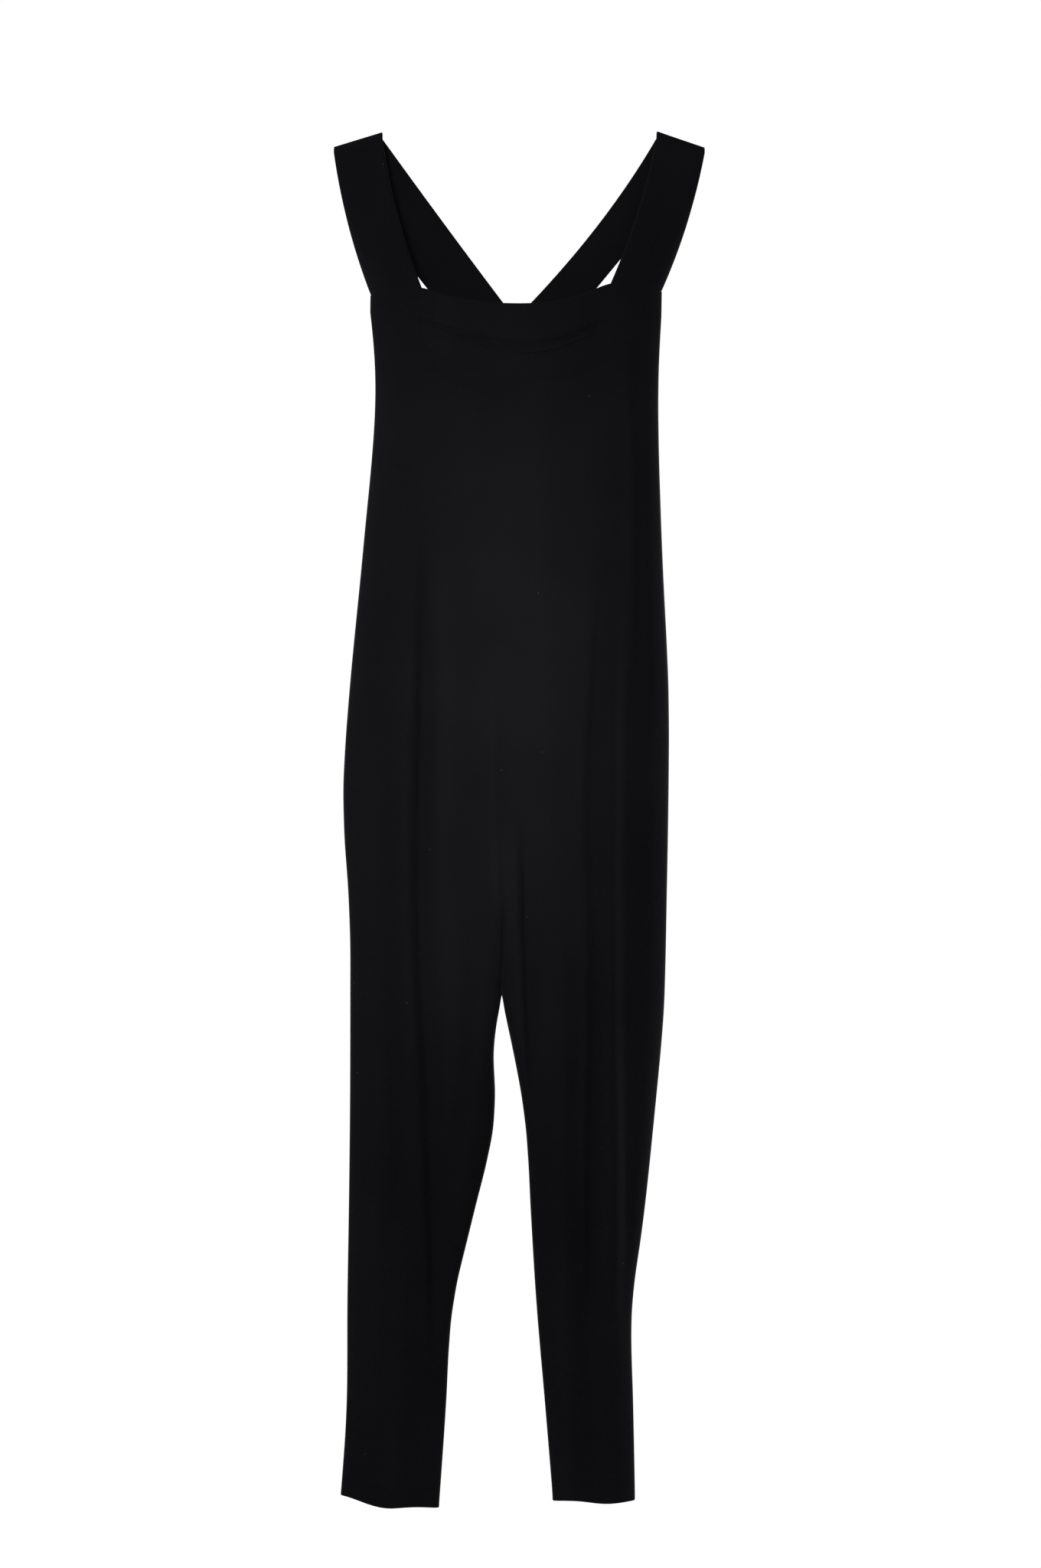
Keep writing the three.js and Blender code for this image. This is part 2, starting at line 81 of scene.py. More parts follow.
def triangles(*names):
    """The triangles of some CAD nodes, as an array of corners."""
    found = []
    for name in names:
        mesh = frame["nodes"][name].data
        mesh.calc_loop_triangles()
        points = np.array([vertex.co for vertex in mesh.vertices])
        found.append(points[np.array([triangle.vertices for triangle in mesh.loop_triangles])])
    return np.concatenate(found)


def slice_points(corners, axis, value):
    """The points where the triangles' edges cross the plane at that value of an axis."""
    start, end = corners.reshape(-1, 3), np.roll(corners, -1, axis=1).reshape(-1, 3)
    crossing = (start[:, axis] - value) * (end[:, axis] - value) < 0
    start, end = start[crossing], end[crossing]
    share = (value - start[:, axis]) / (end[:, axis] - start[:, axis])
    return start + (end - start) * share[:, None]


def softened(values, spread):
    """Values along a line, each one averaged with its neighbours, over a spread counted in steps."""
    reach = int(3 * spread)
    weights = np.exp(-0.5 * (np.arange(-reach, reach + 1) / spread) ** 2)
    padded = np.pad(values, reach, mode="reflect", reflect_type="odd")
    return np.convolve(padded, weights / weights.sum(), "valid")


# %% Widths and depths down the garment
FORK_ABOVE_FOLD = 0.050  # the crotch stands this far above the line that the legs fold about
SLICES_FROM = 0.150  # the first slice
UNDERARM_PLACE = 0.125  # from the midline, close to a side seam
SLICE_STEP = 0.004
ABOVE_HEM = 0.001  # the last slice of a leg stays this far above its hem
FOLD_LINE = -JOINTS["left_leg_fold"]["pos_m"][2]
CROTCH = FOLD_LINE - FORK_ABOVE_FOLD
HEM = {side: -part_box(f"front_{side}_leg")[0].z for side in SIGN}
DROPS = np.arange(SLICES_FROM, max(HEM.values()), SLICE_STEP)
UNDERARM = {}
for side, sign in SIGN.items():
    at_seam = slice_points(triangles(f"back_{side}_body"), 0, sign * UNDERARM_PLACE)
    UNDERARM[side] = -at_seam[:, 2].max()
print("underarm drops", UNDERARM)

OUTER, INNER, depths = {}, {}, []
for side, sign in SIGN.items():
    half = triangles(*[f"{face}_{side}_{part}" for face in FACE_NAME.values() for part in ("body", "leg")])
    rows = []
    for drop in DROPS:
        points = slice_points(half, 2, -min(drop, HEM[side] - ABOVE_HEM))
        if len(points) == 0:  # the fine gap between body and leg
            rows.append(rows[-1])
            continue
        outwards = sign * points[:, 0]
        rows.append((outwards.max(), outwards.min(), np.abs(points[:, 1]).max()))
    outer, inner, depth = np.array(rows).T
    OUTER[side] = softened(outer, 3)
    INNER[side] = np.where(DROPS < CROTCH, 0, softened(inner, 2))
    depths.append(depth)
DEPTH = softened((depths[0] + depths[1]) / 2, 4)
print("widest", {side: OUTER[side].max().round(3) for side in SIGN}, "deepest", DEPTH.max().round(3))

# %% Top edges of the front and the back
ACROSS = np.linspace(-0.127, 0.127, 160)  # places across the chest, from one side seam to the other
MIDDLE = len(ACROSS) // 2
OFF_CORNERS = 0.00001  # keeps a slice clear of the solids' own corners
NOTCH = 4  # a notch up to twice this many places wide is closed
NEAR_MIDLINE = 0.001


def top_edge(*names):
    """The height of a top edge, by place across, with any narrow notch in it closed."""
    corners = triangles(*names)
    heights = np.array([slice_points(corners, 0, x + OFF_CORNERS)[:, 2].max() for x in ACROSS])
    for choose in (np.max, np.min):
        padded = np.pad(heights, NOTCH, mode="edge")
        heights = np.array([choose(padded[i : i + 2 * NOTCH + 1]) for i in range(len(heights))])
    return softened(heights, 1.5)


TOP = {
    FRONT: -top_edge("front_neck_band", "front_left_body", "front_right_body"),
    BACK: -top_edge("back_neck_band"),
}
NECK_MIDDLE = float(TOP[FRONT][MIDDLE])
BAND_DEPTH = {}
for face, name in FACE_NAME.items():
    heights = slice_points(triangles(f"{name}_neck_band"), 0, NEAR_MIDLINE)[:, 2]
    BAND_DEPTH[face] = heights.max() - heights.min()
print("neck drops", round(NECK_MIDDLE, 3), TOP[BACK][MIDDLE].round(3), "band depths", BAND_DEPTH)

# %% [markdown]
# ## The folds
# A garment that hangs empty is a flattened tube, and its spare width falls into long, nearly upright folds.
# A cloth simulation would find folds of its own, but here each fold has a known place, so it is given one
# by one: a path down the cloth, a width and a depth. A valley sinks, a ridge rises, and a flap is a pleat
# that rises slowly and drops away at once.

# %% A fold and its lift
LEVEL_STEP, PATH_SPREAD = 0.005, 6  # a fold's path is worked out at these levels, and softened over so many
FLAP_DROP, FLAP_REACH = 0.3, 1.5  # shares of a flap's width: over what it drops, and where it dies away


def smooth(share):
    """From 0 to 1, starting and ending gently."""
    share = np.clip(share, 0, 1)
    return share * share * (3 - 2 * share)


class Fold:
    """One fold of a given form, depth and width, which fades in and out at the ends of its path."""

    def __init__(self, form, path, depth, width, fade=0.07):
        self.form, self.depth, self.width, self.fade = form, depth, width, fade
        self.start, self.end = path[0][0], path[-1][0]
        self.levels = np.arange(self.start - fade, self.end + fade, LEVEL_STEP)
        self.places = softened(np.interp(self.levels, *np.array(path).T), PATH_SPREAD)

    def lift(self, x, drop):
        """How far the cloth stands out at these places, inwards being less than nothing."""
        off = (x - np.interp(drop, self.levels, self.places)) / self.width
        strength = smooth((drop - self.start + self.fade) / (2 * self.fade))
        strength = strength * smooth((self.end + self.fade - drop) / (2 * self.fade)) * self.depth
        bell = np.exp(-(off**2))
        if self.form == "valley":
            return -strength * bell
        if self.form == "ridge":
            return strength * bell
        side = 1 if self.form == "flap_left" else -1  # which way the pleat drops
        return strength * np.tanh(side * off / FLAP_DROP) * -np.exp(-((off / FLAP_REACH) ** 2))


# A path is a list of (drop, place across) from the top down. A depth, a width and a fade follow it.
FOLDS = {
    FRONT: [
        Fold(
            "valley",
            [(0.40, -0.068), (0.63, -0.069), (0.71, -0.066), (0.82, -0.060), (0.93, -0.056), (1.05, -0.052)],
            0.0046,
            0.017,
        ),
        Fold(
            "flap_left",
            [(0.42, -0.078), (0.63, -0.079), (0.71, -0.077), (0.82, -0.069), (0.93, -0.063), (1.03, -0.058)],
            0.0034,
            0.0075,
            0.09,
        ),
        Fold("ridge", [(0.36, -0.050), (0.60, -0.050), (0.74, -0.045)], 0.0022, 0.020),
        Fold("ridge", [(0.55, -0.110), (0.80, -0.104), (1.10, -0.100)], 0.0020, 0.013),
        Fold("valley", [(0.17, 0.109), (0.33, 0.113), (0.49, 0.116)], 0.0034, 0.010),
        Fold("flap_left", [(0.45, 0.101), (0.64, 0.103), (0.82, 0.107), (1.03, 0.112)], 0.0034, 0.014),
        Fold(
            "flap_left",
            [(0.40, 0.077), (0.58, 0.071), (0.72, 0.078), (0.88, 0.078), (1.00, 0.080)],
            0.0025,
            0.006,
            0.06,
        ),
        Fold("valley", [(0.90, 0.078), (1.02, 0.082), (1.19, 0.086)], 0.0028, 0.013),
        Fold("flap_left", [(0.62, 0.014), (0.68, 0.017), (0.75, 0.021), (0.84, 0.025)], 0.0040, 0.010, 0.04),
        Fold("valley", [(0.65, 0.017), (0.75, 0.022), (0.83, 0.025)], 0.0022, 0.004, 0.04),
        Fold("ridge", [(0.50, -0.010), (0.64, -0.006), (0.75, -0.002)], 0.0012, 0.004),
        Fold("ridge", [(0.70, 0.052), (0.88, 0.058), (1.15, 0.070)], 0.0024, 0.010),
        Fold("valley", [(0.72, -0.022), (0.80, -0.026), (0.93, -0.040)], 0.0022, 0.009),
        Fold("ridge", [(0.96, -0.080), (1.08, -0.082), (1.20, -0.084)], 0.0022, 0.012),
        Fold("ridge", [(0.20, 0.030), (0.34, 0.034), (0.52, 0.040)], 0.0014, 0.020),
    ],
    BACK: [
        Fold("valley", [(0.30, 0.070), (0.55, 0.074), (0.78, 0.070), (1.02, 0.074)], 0.0040, 0.016),
        Fold("valley", [(0.33, -0.078), (0.58, -0.072), (0.80, -0.068), (1.00, -0.072)], 0.0036, 0.015),
        Fold("flap_right", [(0.42, -0.104), (0.70, -0.102), (0.98, -0.104)], 0.0026, 0.012),
        Fold("flap_right", [(0.60, 0.022), (0.72, 0.020), (0.82, 0.026)], 0.0030, 0.011),
        Fold("flap_left", [(0.62, -0.020), (0.73, -0.019), (0.81, -0.024)], 0.0026, 0.010),
        Fold("ridge", [(0.40, 0.034), (0.58, 0.030), (0.74, 0.036)], 0.0024, 0.018),
        Fold("ridge", [(0.86, 0.058), (1.02, 0.062), (1.19, 0.074)], 0.0020, 0.011),
        Fold("valley", [(0.88, -0.048), (1.00, -0.054), (1.17, -0.066)], 0.0020, 0.009),
    ],
}

# %% [markdown]
# ### Creases across the cloth
# Two kinds of crease run across. The slack cloth below the front band drags in shallow bows, and the
# stitches of the band draw the cloth in along their own line, which sags where the neckline is slackest. On
# top of both lies a slow unevenness, because resting cloth is never flat. Each is a formula, added to the
# folds.

# %% Drag lines, the band's crease and the swell
# Each drag line is (drop below the neckline's middle, centre across, half width, how low its left end hangs).
DRAG_LINES = [(0.048, -0.045, 0.035, 0.010), (0.066, -0.030, 0.045, 0.012), (0.058, 0.050, 0.035, -0.010)]
DRAG_DEPTH, DRAG_WIDTH, DRAG_BOW = 0.0019, 0.0035, 0.006
BAND_SHARE, BAND_SAG = 0.90, 0.27  # shares of its depth: at the straps, and added where it sags most
SAG_PLACE, SAG_SPREAD = 0.020, 0.055  # the sag lies just to the left of the middle
CREASE_DEPTH, CREASE_WIDTH = 0.0016, 0.0023
CREASE_ABOVE_EDGE = 0.006
CREASE_END, CREASE_FADE = 0.098, 0.030  # from the midline: where the crease dies out, and over what length
SWELL = 0.0011
SWELL_ACROSS, SWELL_DOWN = 16, 4.5  # about so many waves per metre


def drag_lines(x, drop):
    """Bowed creases that the slack band leaves below itself."""
    total = 0
    for below, centre, half_width, left_end in DRAG_LINES:
        bow = left_end * (x - centre) / half_width + DRAG_BOW * (1 - ((x - centre) / half_width) ** 2)
        off = (drop - NECK_MIDDLE - below - bow) / DRAG_WIDTH
        total = total - DRAG_DEPTH * np.exp(-(off**2)) * np.exp(-(((x - centre) / half_width) ** 4))
    return total


def band_hang(face, x):
    """How deep a band hangs at a place across, as a share of its depth in the frame."""
    if face == BACK:
        return 1.0
    return BAND_SHARE + BAND_SAG * np.exp(-(((x - SAG_PLACE) / SAG_SPREAD) ** 2))


def band_crease(x, drop):
    """The crease along the front band's stitches, which dies out under the straps."""
    edge = np.interp(x, ACROSS, TOP[FRONT]) + BAND_DEPTH[FRONT] * band_hang(FRONT, x)
    off = (drop - (edge - CREASE_ABOVE_EDGE)) / CREASE_WIDTH
    return -CREASE_DEPTH * np.exp(-(off**2)) * smooth((CREASE_END - np.abs(x)) / CREASE_FADE)


def slow_swell(face, x, drop):
    """Long, low waves of two sizes, which never repeat."""
    waves = []
    for a, b in zip(np.ravel(x) * SWELL_ACROSS, np.ravel(drop) * SWELL_DOWN):
        broad = noise.noise(Vector((a, b, 3.7 * face)))
        small = noise.noise(Vector((3 * a, 2.5 * b, 9.1 * face)))
        waves.append(broad + 0.4 * small)
    return SWELL * np.reshape(waves, np.shape(x))


# %% [markdown]
# ## One rule that places any point of the cloth
# Each cross-section is a superellipse: a squared-off oval, as a flattened tube is. Over the last stretch
# above the crotch one wide oval closes in the middle and becomes two, one for each leg. Every sheet below
# uses this rule, so panels, bands, hems and stitches all follow the same folds and can't drift apart.

# %% The placing rule
ROUNDNESS = 2.6
ROUNDING = 0.160  # the height over which the trunk closes to the crotch
GROOVE = 3  # the higher, the shorter the groove that runs up from the crotch
SEAM_CALM = 0.020  # folds die out this far from a side seam
HAIR = 0.0001  # the least that is kept between two layers
HEM_RISE = {"right": 0.009, "left": 0.001}  # how much higher each hem hangs at its side seam
HEM_RISE_FROM = 0.45  # the share of the hem that stays level
HEM_WAVE, HEM_TURN = 0.0012, 7  # a wave along the hem: its height, and its turn in radians


def squareness(share):
    """How deep a superellipse is at a share of its half width."""
    return (1 - np.minimum(np.abs(share), 1) ** ROUNDNESS) ** (1 / ROUNDNESS)


def cloth(side, face, drop, u, offset=0.0):
    """Points of the cloth: u runs from the midline or inseam to the side seam, offset is outwards."""
    drop, u = np.broadcast_arrays(np.asarray(drop, float), np.asarray(u, float))
    closing = smooth((drop - CROTCH + ROUNDING) / ROUNDING)
    outer = np.interp(drop, DROPS, OUTER[side]) + offset
    inner = np.maximum((np.interp(drop, DROPS, INNER[side]) - offset) * closing, 0)
    depth = np.interp(drop, DROPS, DEPTH) + offset
    x = inner + (outer - inner) * u
    middle = (inner + outer) / 2
    as_body = depth * squareness(x / outer)
    as_leg = depth * squareness((x - middle) / (outer - middle))
    y = as_body + (as_leg - as_body) * closing**GROOVE
    x = SIGN[side] * x
    lift = sum(fold.lift(x, drop) for fold in FOLDS[face]) + slow_swell(face, x, drop)
    if face == FRONT:
        lift = lift + drag_lines(x, drop) + band_crease(x, drop)
    width = outer - inner
    calm = smooth((1 - u) * width / SEAM_CALM) * (1 - closing * (1 - smooth(u * width / SEAM_CALM)))
    y = np.maximum(y + lift * calm, HAIR)
    return np.stack([x, face * y, -drop], axis=-1)


def hem_drop(side, u):
    """The drop of a slack hem, which rises towards its side seam."""
    rise = HEM_RISE[side] * smooth((u - HEM_RISE_FROM) / (1 - HEM_RISE_FROM))
    return HEM[side] - rise - HEM_WAVE * np.sin(HEM_TURN * u)


def across(side, u):
    """The signed place across the chest, for looking up a top edge."""
    return SIGN[side] * u * OUTER[side][0]


def top_drop(side, face, u):
    """The drop of a top edge."""
    return np.interp(across(side, u), ACROSS, TOP[face])


# %% [markdown]
# ## Cutting a sheet
# A sheet starts as a flat grid, as cloth starts on the cutting table. Its points move to where they hang,
# its UV map is measured along the cloth in metres so that the knit keeps one scale, and a Solidify modifier
# gives it thickness.

# %% Tools for sheets
RIM_ANGLE, SHARP_ANGLE = math.radians(50), math.radians(60)


def deselect():
    if bpy.context.object and bpy.context.object.mode != "OBJECT":
        bpy.ops.object.mode_set(mode="OBJECT")
    bpy.ops.object.select_all(action="DESELECT")


def make_active(piece):
    deselect()
    piece.select_set(True)
    bpy.context.view_layer.objects.active = piece


def apply_modifier(piece, kind, **settings):
    make_active(piece)
    modifier = piece.modifiers.new(kind.title(), kind)
    for key, value in settings.items():
        setattr(modifier, key, value)
    bpy.ops.object.modifier_apply(modifier=modifier.name)


def running(points, axis):
    """Lengths measured along a grid of points, from its first row or column."""
    steps = np.linalg.norm(np.diff(points, axis=axis), axis=2)
    return np.concatenate([np.zeros_like(steps.take([0], axis=axis)), np.cumsum(steps, axis=axis)], axis=axis)


def in_edit_mode(piece, operator, **settings):
    """Runs one operator on the whole of a piece's mesh."""
    make_active(piece)
    bpy.ops.object.mode_set(mode="EDIT")
    bpy.ops.mesh.select_all(action="SELECT")
    operator(**settings)
    bpy.ops.object.mode_set(mode="OBJECT")


def cut_sheet(name, columns, rows, place, thickness, facing, closed=False, rim=0.0, inwards=True):
    """A sheet whose points place(s, t) gives, s across and t down, both from 0 to 1.

    The sheet faces the way that facing(centres) points, and comes back with its flat width, length and area.
    """
    deselect()
    bpy.ops.mesh.primitive_grid_add(x_subdivisions=columns, y_subdivisions=rows, size=1, calc_uvs=True)
    piece = bpy.context.object
    piece.name = piece.data.name = name
    mesh = piece.data
    flat = np.zeros(len(mesh.vertices) * 3)
    mesh.vertices.foreach_get("co", flat)
    s, t = flat.reshape(-1, 3)[:, 0] + 0.5, 0.5 - flat.reshape(-1, 3)[:, 1]
    order = np.lexsort((s.round(6), t.round(6)))
    shape = (len(np.unique(t.round(6))), len(np.unique(s.round(6))))
    grid = place(s[order].reshape(shape), t[order].reshape(shape))
    points = np.zeros((len(s), 3))
    points[order] = grid.reshape(-1, 3)
    mesh.vertices.foreach_set("co", points.ravel())
    along, down = running(grid, 1), running(grid, 0)
    uv = np.zeros((len(s), 2))
    uv[order] = np.stack([along.ravel(), -down.ravel()], axis=1)
    corner_vertex = np.zeros(len(mesh.loops), dtype=int)
    mesh.loops.foreach_get("vertex_index", corner_vertex)
    mesh.uv_layers[0].data.foreach_set("uv", uv[corner_vertex].ravel())
    mesh.update()
    area = sum(polygon.area for polygon in mesh.polygons)
    normals = np.array([polygon.normal for polygon in mesh.polygons])
    centres = np.array([polygon.center for polygon in mesh.polygons])
    if (normals * facing(centres)).sum() < 0:
        in_edit_mode(piece, bpy.ops.mesh.flip_normals)
    if closed:
        in_edit_mode(piece, bpy.ops.mesh.remove_doubles, threshold=HAIR / 10)
    apply_modifier(piece, "SOLIDIFY", thickness=thickness, offset=-1 if inwards else 0)
    if rim:
        apply_modifier(piece, "BEVEL", width=rim, segments=2, limit_method="ANGLE", angle_limit=RIM_ANGLE)
    make_active(piece)
    bpy.ops.object.shade_smooth_by_angle(angle=SHARP_ANGLE)
    sizes = (float(along[:, -1].max()), float(down[-1].max()), float(area))
    print(name, "faces", len(piece.data.polygons), "flat size", [round(size, 4) for size in sizes])
    return piece, sizes


def towards(face):
    """A sheet's facing: forwards or backwards all over."""
    return lambda centres: np.array([0, face, 0])


def declare_cloth(piece, sizes, *nodes):
    """What the cloth was cut to, which is not used, and the CAD solids that it stands for, which are hidden."""
    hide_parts(*nodes)


def hang(piece, side=None):
    """A piece above the crotch rides on the trunk. One that reaches a leg has its transform baked into its mesh.
    """
    if side is None:
        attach(piece, "torso")
    else:
        -CROTCH
        -CROTCH - 2 * FORK_ABOVE_FOLD
        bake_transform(piece)


# %% [markdown]
# ## The four long panels
# Front and back, right and left: each is one length of jersey from the neckline to the ankle, where the
# frame has a body solid and a leg solid. Each is one sheet here.

# %% Body and leg panels
JERSEY = 0.0007  # how thick the cloth is
STRAP_WIDTH = 0.045
FRONT_FOOT = {side: 1 - STRAP_WIDTH / OUTER[side][0] for side in SIGN}  # the u where a strap's foot starts
FOOT_EASE = 0.02  # the share of the width over which a panel's top edge climbs from band to strap
PANEL_COLUMNS, PANEL_ROWS = 60, 250
UNDER_BAND = 0.003  # a panel's top edge stops this far under the top of its band
CLOTH_PIECES = []


def eased(s):
    """Columns that lie closer together towards both edges."""
    return 0.5 * s + 0.25 * (1 - np.cos(math.pi * s))


def panel_place(side, face):
    """One panel, from its top edge to its hem."""

    def place(s, t):
        u = eased(s)
        under_strap = smooth((u - FRONT_FOOT[side]) / FOOT_EASE) if face == FRONT else 0
        top = top_drop(side, face, u) + UNDER_BAND * (1 - under_strap)
        return cloth(side, face, top + (hem_drop(side, u) - top) * t, u)

    return place


for face, face_name in FACE_NAME.items():
    for side in SIGN:
        place = panel_place(side, face)
        name = f"{face_name}_{side}_panel"
        panel, sizes = cut_sheet(name, PANEL_COLUMNS, PANEL_ROWS, place, JERSEY, towards(face))
        declare_cloth(panel, sizes, f"{face_name}_{side}_body", f"{face_name}_{side}_leg")
        hang(panel, side)
        CLOTH_PIECES.append(panel)

# %% [markdown]
# ## The neck bands
# Each band is a strip folded double over its elastic, so its top edge is round and it stands a little proud
# of the panel. It could be extruded from the panel's top edge, but a strip of its own keeps the real seam.
# A faint channel runs along the two rows of stitches near its lower edge.

# %% Front and back bands
BAND_THICKNESS = 0.0022
BAND_PROUD = 0.0011  # how far a band's outer side stands out from the panel's
BAND_RIM = 0.0009
BAND_COLUMNS, BAND_ROWS = {FRONT: 110, BACK: 150}, 20
CHANNEL_DEPTH, CHANNEL_WIDTH = 0.0012, 0.0016  # how the stitches pull the band in
STITCH_ABOVE_EDGE = 0.005
ROW_GAP = 0.003  # between the two rows of stitches
BAND_FADE = {FRONT: 0.40, BACK: 0.16}  # a band's ends sink to the panel over this share of its half width
SUNK_END = {FRONT: 0.0005, BACK: 0.0}  # how far its ends sink into the panel


def band_side(face, s):
    """For each side of the garment: its name, the u of every column, and which columns lie on it."""
    signed = 2 * s - 1
    found = []
    for side, sign in SIGN.items():
        end = FRONT_FOOT[side] if face == FRONT else 1.0
        found.append((side, np.clip(sign * signed, 0, 1) * end, sign * signed >= 0))
    return found


def stitch_lines(face):
    """How far down a band its two rows of stitches run."""
    return [BAND_DEPTH[face] - STITCH_ABOVE_EDGE - i * ROW_GAP for i in range(2)]


def channel(face, below):
    """How far the stitches pull a band in."""
    lines = stitch_lines(face)
    return sum(CHANNEL_DEPTH * np.exp(-(((below - line) / CHANNEL_WIDTH) ** 2)) for line in lines)


def band_place(face, least=-BAND_PROUD):
    """The outer side of a band, which never lies further in than the least offset from the panel's."""

    def place(s, t):
        below = BAND_DEPTH[face] * t
        ending = smooth((1 - np.abs(2 * s - 1)) / BAND_FADE[face])
        offset = (BAND_PROUD + SUNK_END[face] - channel(face, below)) * ending - SUNK_END[face]
        points = np.zeros(s.shape + (3,))
        for side, u, here in band_side(face, s):
            drop = top_drop(side, face, u) + below * band_hang(face, across(side, u))
            points[here] = cloth(side, face, drop, u, np.maximum(offset, least))[here]
        return points

    return place


for face, face_name in FACE_NAME.items():
    name, place = f"{face_name}_neck_band_cloth", band_place(face)
    band, sizes = cut_sheet(
        name, BAND_COLUMNS[face], BAND_ROWS, place, BAND_THICKNESS, towards(face), rim=BAND_RIM
    )
    declare_cloth(band, sizes, f"{face_name}_neck_band")
    hang(band)
    CLOTH_PIECES.append(band)

# %% [markdown]
# ## The straps
# A strap is a strip of jersey folded double. It leaves the front panel, climbs over the hanger arm, turns
# inwards down the back, crosses the other strap and ends inside the other half of the back band. A flat
# strip bent along a curve would twist at the fold. So its rows are worked out one after another along that
# route, from the seats that the frame names, and the strip between them is a sheet like the rest.

# %% Rows along a strap
STRAP_THICKNESS = 0.0020
STRAP_RIM = 0.0008
ARM_TO_MIDDLE = 0.0046  # from the middle of the hanger arm to the middle of the strap that wraps it
SEAT_ABOVE_ARM = 0.0032  # the seat face stands this far above the middle of the arm
CROSSING_DROP, CROSSING_TILT = 0.182, math.radians(40)
CROSSING_WIDTH = 0.88  # a strap's share of its width there, where it is stretched
CROSSING_DEPTH = {"right": 0.0090, "left": 0.0126}  # the left strap lies outside the right one
CROSSING_HOLD = 0.55  # how much of the way to its foot a strap stays at its depth in the crossing
# How far a strap's inner and outer edges bow outwards between its ends.
FRONT_BOW = (0.004, 0.004)
BACK_BOW = {"right": (0.001, 0.009), "left": (0.010, 0.002)}
BACK_FOOT = 0.016  # from the midline to the nearer edge of a strap's foot
TUCK = 0.012  # how far each foot runs on behind the edge that it is sewn to
TUCK_NARROWING = 0.985  # keeps the tucked end inside the side seam
STRAP_COLUMNS = 20
STRAP_ROWS = {"front": 22, "fold": 12, "back": 32, "foot": 10}


def rows_between(first, last, count, bow, sign, hold=0.0):
    """Rows that lead from one to another, bowed outwards, held at the first one's depth for a share."""
    rows = []
    for share in np.linspace(0, 1, count + 1)[1:-1]:
        row = first + (last - first) * share
        row[:, 1] = first[:, 1] + (last[:, 1] - first[:, 1]) * smooth((share - hold) / (1 - hold))
        row[:, 0] += sign * np.linspace(*bow, len(row)) * 4 * share * (1 - share)
        rows.append(row)
    return rows


def strap_rows(side):
    """Rows of points from the front foot to the back foot. Each runs from the inner edge to the outer one."""
    sign, other = SIGN[side], OTHER[side]
    a = np.linspace(0, 1, STRAP_COLUMNS + 1)
    front_u = FRONT_FOOT[side] + (1 - FRONT_FOOT[side]) * a
    back_u = (BACK_FOOT + STRAP_WIDTH * (1 - a)) / OUTER[other][0]
    inside = -STRAP_THICKNESS / 2
    front_top, back_top = top_drop(side, FRONT, front_u), top_drop(other, BACK, back_u)
    front_foot = cloth(side, FRONT, front_top, front_u, inside)
    front_tuck = cloth(side, FRONT, front_top + TUCK, front_u * TUCK_NARROWING, inside - JERSEY)
    back_foot = cloth(other, BACK, back_top, back_u, inside - BAND_THICKNESS / 2)
    back_tuck = cloth(other, BACK, back_top + TUCK, back_u, inside - BAND_THICKNESS)

    seat = MOUNTS[f"{side}_shoulder_seat"]
    down = Vector(seat["axis"])
    centre = Vector(seat["pos_m"]) + down * SEAT_ABOVE_ARM
    tilt = math.atan2(abs(down.x), abs(down.z))
    reach = (a - 0.5) * STRAP_WIDTH

    def straight_row(x, y, z, lean, width=1.0):
        out, lower = reach * width * math.cos(lean), reach * width * math.sin(lean)
        return np.stack([x + sign * out, np.full(a.shape, y), z - lower], axis=1)

    fold = []
    for angle in np.linspace(0, math.pi, STRAP_ROWS["fold"] + 1):
        y, rise = -ARM_TO_MIDDLE * math.cos(angle), ARM_TO_MIDDLE * math.sin(angle)
        fold.append(straight_row(centre.x, y, centre.z + rise, tilt))
    crossing = straight_row(0, CROSSING_DEPTH[side], -CROSSING_DROP, CROSSING_TILT, CROSSING_WIDTH)
    front = rows_between(front_foot, fold[0], STRAP_ROWS["front"], FRONT_BOW, sign)
    back = rows_between(fold[-1], crossing, STRAP_ROWS["back"], BACK_BOW[side], sign)
    foot = rows_between(crossing, back_foot, STRAP_ROWS["foot"], (0, 0), sign, CROSSING_HOLD)
    return np.array([front_tuck, front_foot, *front, *fold, *back, crossing, *foot, back_foot, back_tuck])


# %% The two straps
RIPPLE = 0.0005  # how uneven a strap lies, back and forth
RIPPLES = (40, 60, 14)  # per metre, along X, Y and Z


def rippled(rows, side):
    """The rows with a slight unevenness, another one on each side."""
    waves = []
    for x, y, z in rows.reshape(-1, 3):
        waves.append(noise.noise(Vector((x * RIPPLES[0], y * RIPPLES[1], z * RIPPLES[2] + SIGN[side]))))
    rows[..., 1] += RIPPLE * np.reshape(waves, rows.shape[:2])
    return rows


def strap_place(rows):
    """The rows as they are, because they have the sheet's own number of points."""
    return lambda s, t: rows


def strap_facing(centres):
    """Away from the hanger arm: forwards in front of it, backwards behind it."""
    return np.stack([0 * centres[:, 0], np.sign(centres[:, 1]), 0.2 + 0 * centres[:, 2]], axis=1)


for side in SIGN:
    rows = rippled(strap_rows(side), side)
    name, place, count = f"{side}_strap_cloth", strap_place(rows), len(rows) - 1
    strap, sizes = cut_sheet(
        name, STRAP_COLUMNS, count, place, STRAP_THICKNESS, strap_facing, rim=STRAP_RIM, inwards=False
    )
    declare_cloth(strap, sizes, f"{side}_strap")
    hang(strap)
    CLOTH_PIECES.append(strap)

# %% [markdown]
# ## What is sewn inside
# The ankle hems are turned up inside the legs, a soft lining backs the crotch, and each long seam leaves a
# narrow overlocked edge standing inside. A hem could be the panel's own lower edge folded over, but the
# frame has it as a piece of its own. All of them follow the same placing rule a little way in, so they lie
# on the panels.

